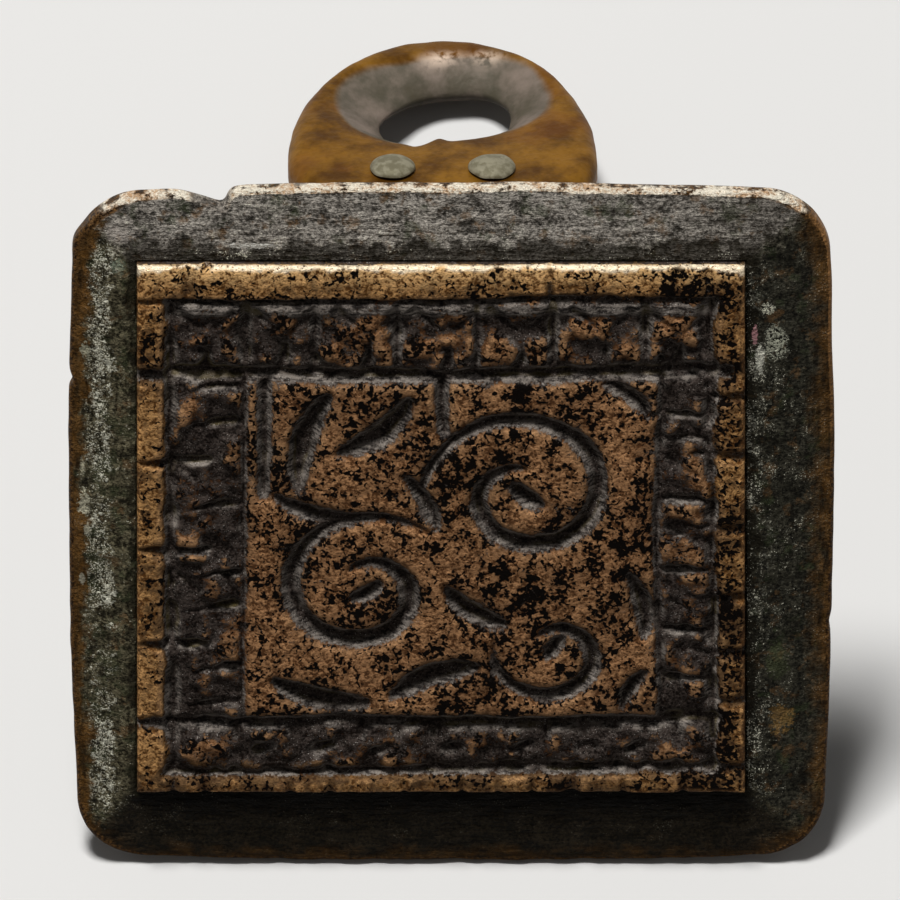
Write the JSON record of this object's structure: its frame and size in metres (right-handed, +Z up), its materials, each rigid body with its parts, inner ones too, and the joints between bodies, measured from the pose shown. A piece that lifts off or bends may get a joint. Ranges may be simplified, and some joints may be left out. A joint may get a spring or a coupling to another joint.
{
  "type": "stamp seal",
  "caption": "Copper-alloy stamp seal: engraved square die set in a bevelled plate, with a turned shank and a flat pierced loop for a cord, lying on its side.",
  "frame": {"origin": "on the table under the middle of the seal's bounding box, in the pose in which it lies at rest", "axes": "+Z up, +Y along the table from the plate towards the loop, +X to the right of the engraved face, which looks towards -Y and up"},
  "size_m": [0.0282, 0.0378, 0.0264],
  "materials": {
    "die_plate": "worn brown copper with black pitting",
    "solder_bed": "dull grey soft solder",
    "base_plate": "grey-green bronze patina with golden brown worn edges",
    "handle_shank": "golden brown bronze, worn smooth",
    "handle_loop": "golden brown bronze with a grey film in the hole",
    "loop_rivet_left": "pale worn rivet head",
    "loop_rivet_right": "pale worn rivet head"
  },
  "bodies": {
    "root": {"die_plate": "die_plate", "solder_bed": "solder_bed", "base_plate": "base_plate", "handle_shank": "handle_shank", "handle_loop": "handle_loop", "loop_rivet_left": "loop_rivet_left", "loop_rivet_right": "loop_rivet_right"}
  },
  "joints": []
}
